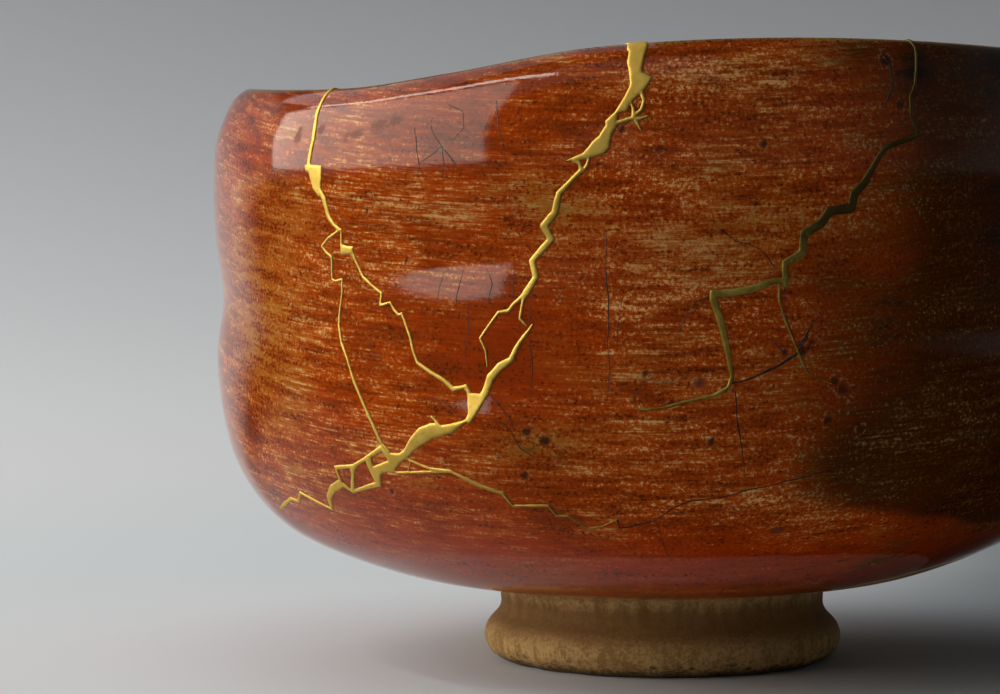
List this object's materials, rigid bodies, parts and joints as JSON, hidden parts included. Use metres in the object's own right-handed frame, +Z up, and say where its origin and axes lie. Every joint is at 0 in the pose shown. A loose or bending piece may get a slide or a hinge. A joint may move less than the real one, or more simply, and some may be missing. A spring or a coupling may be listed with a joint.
{
  "type": "kintsugi tea bowl",
  "caption": "Hand-formed tea bowl with a low foot ring, glossy brushed red glaze and a smoked black flank, its cracks mended with raised gold-lacquer seams.",
  "frame": {"origin": "centre of the foot ring's underside, on the surface the bowl stands on", "axes": "+Z up along the axis the foot was turned on; -Y towards the viewer of the picture; +X to the viewer's right"},
  "size_m": [0.1179, 0.1183, 0.0807],
  "materials": {
    "red_glaze": "gloss",
    "gold_lacquer": "satin"
  },
  "bodies": {
    "root": {"bowl": "red_glaze", "gold_seam_front": "gold_lacquer", "gold_seam_right": "gold_lacquer"}
  },
  "joints": []
}
